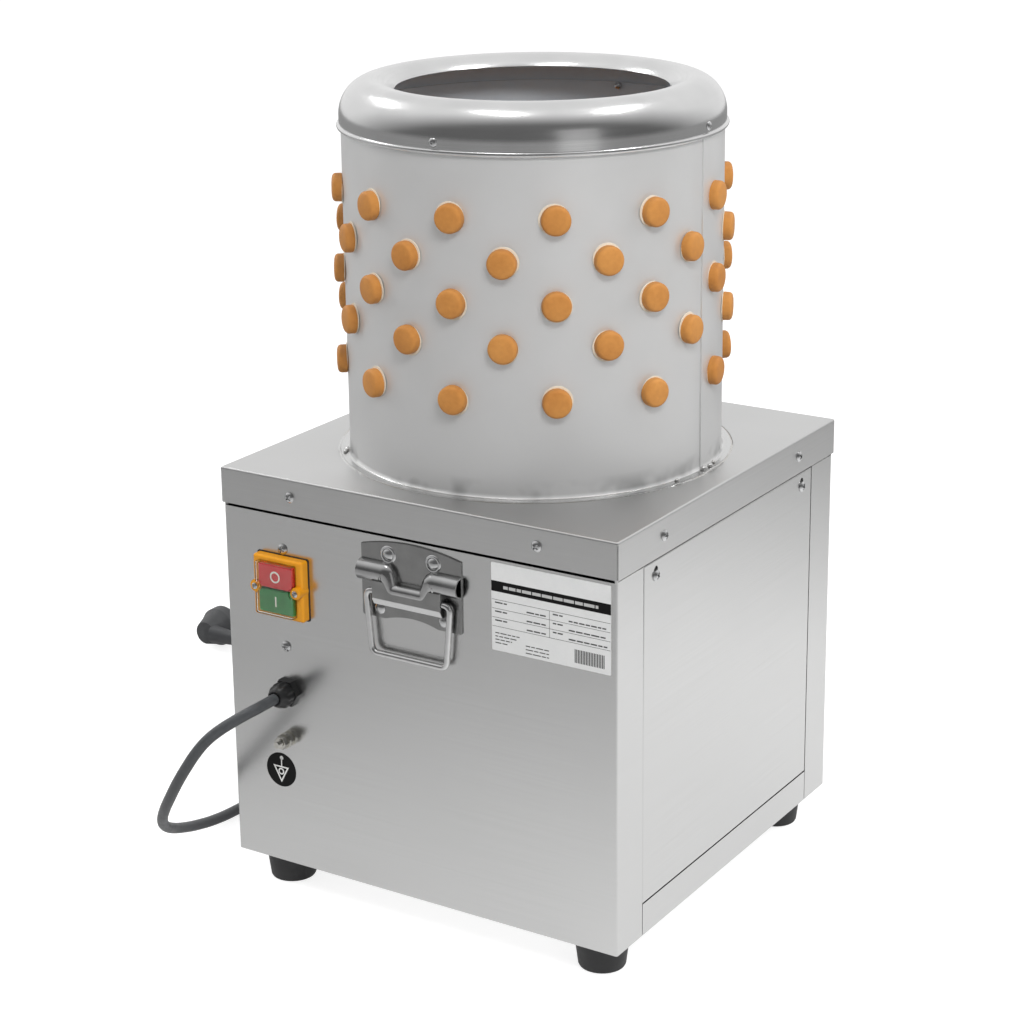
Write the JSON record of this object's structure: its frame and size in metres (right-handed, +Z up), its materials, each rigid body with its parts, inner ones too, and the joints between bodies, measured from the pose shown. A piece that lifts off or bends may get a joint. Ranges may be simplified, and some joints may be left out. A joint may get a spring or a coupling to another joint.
{
  "type": "poultry plucker",
  "caption": "Drum poultry plucker: a finger-lined stainless drum on a square casing, with a belt-driven feather plate, a feather outlet, a guarded switch and drop handles.",
  "frame": {"origin": "on the floor under the drum's axis, at the centre of the four feet", "axes": "+X to the right seen from the front, -Y to the front with the switch, +Z up along the drum's axis"},
  "size_m": [0.7241, 0.5033, 0.6521],
  "materials": {
    "stainless sheet": "satin brushed",
    "polished stainless": "bright spun",
    "weld bead": "as welded",
    "pressed steel": "zinc plated",
    "fastener steel": "bright",
    "finger rubber": "translucent amber, matt",
    "machined steel": "ground",
    "cast housing": "machined casting",
    "motor paint": "matt paint",
    "black rubber": "matt",
    "capacitor case": "gloss",
    "switch plastic": "matt",
    "yellow plastic": "satin",
    "clear boot": "clear",
    "red plastic": "satin",
    "green plastic": "satin",
    "black plastic": "matt",
    "plated brass": "plated",
    "printed film": "satin print",
    "lead sheath": "matt PVC"
  },
  "bodies": {
    "casing": {"front_panel": "stainless sheet", "rear_panel": "stainless sheet", "base_tray": "stainless sheet", "lid": "stainless sheet", "right_panel": "stainless sheet", "left_panel": "stainless sheet", "top_rails": "stainless sheet", "drum": "stainless sheet", "drum_weld": "weld bead", "drum_rim": "polished stainless", "rim_rivets": "fastener steel", "finger_row_1": "finger rubber", "finger_row_2": "finger rubber", "finger_row_3": "finger rubber", "finger_row_4": "finger rubber", "finger_row_5": "finger rubber", "spindle_housing": "cast housing", "upper_bearing": "machined steel", "lower_bearing": "machined steel", "spindle_bolts": "fastener steel", "bearing_bridge": "stainless sheet", "drive_belt": "black rubber", "motor_stator": "motor paint", "motor_upper_bell": "motor paint", "motor_lower_bell": "motor paint", "motor_foot": "motor paint", "motor_bolts": "fastener steel", "capacitor": "capacitor case", "feather_hopper": "stainless sheet", "switch_body": "switch plastic", "switch_bezel": "yellow plastic", "switch_cover": "clear boot", "bezel_screws": "fastener steel", "front_handle_plate": "pressed steel", "rear_handle_plate": "pressed steel", "handle_rivets": "fastener steel", "sheet_screws": "fastener steel", "feet": "black rubber", "foot_bolts": "fastener steel", "cable_gland": "black plastic", "earth_stud": "plated brass", "panel_marks": "printed film", "inner_leads": "lead sheath", "mains_cord": "lead sheath", "mains_plug": "lead sheath"},
    "rotor": {"feather_plate": "stainless sheet", "plate_fingers": "finger rubber", "plate_hub": "machined steel", "plate_screws": "fastener steel", "plate_nut": "fastener steel", "rain_skirt": "black rubber", "spindle_shaft": "machined steel", "driven_pulley": "cast housing"},
    "motor_rotor": {"motor_shaft": "machined steel", "motor_pulley": "cast housing"},
    "front_bail": {"front_handle_bail": "polished stainless"},
    "rear_bail": {"rear_handle_bail": "polished stainless"},
    "stop_button": {"stop_button": "red plastic"},
    "start_button": {"start_button": "green plastic"}
  },
  "joints": [
    {"name": "plate_spin", "type": "hinge", "parent": "casing", "child": "rotor", "pos_m": [0, 0, 0.3], "axis": [0, 0, 1], "continuous": true},
    {"name": "motor_spin", "type": "hinge", "parent": "casing", "child": "motor_rotor", "pos_m": [0.09486, -0.07019, 0.188], "axis": [0, 0, 1], "continuous": true},
    {"name": "front_handle_swing", "type": "hinge", "parent": "casing", "child": "front_bail", "pos_m": [0, -0.1845, 0.282], "axis": [-1, 0, 0], "range_deg": [0, 90]},
    {"name": "rear_handle_swing", "type": "hinge", "parent": "casing", "child": "rear_bail", "pos_m": [0, 0.1845, 0.282], "axis": [1, 0, 0], "range_deg": [0, 90]},
    {"name": "stop_button_press", "type": "slide", "parent": "casing", "child": "stop_button", "axis": [0, 1, 0], "range_m": [0, 0.003], "stiffness_N_per_m": 800},
    {"name": "start_button_press", "type": "slide", "parent": "casing", "child": "start_button", "axis": [0, 1, 0], "range_m": [0, 0.003], "stiffness_N_per_m": 800}
  ],
  "couplings": [
    {"joint": "motor_spin", "follows": "plate_spin", "ratio": 4.4444}
  ]
}
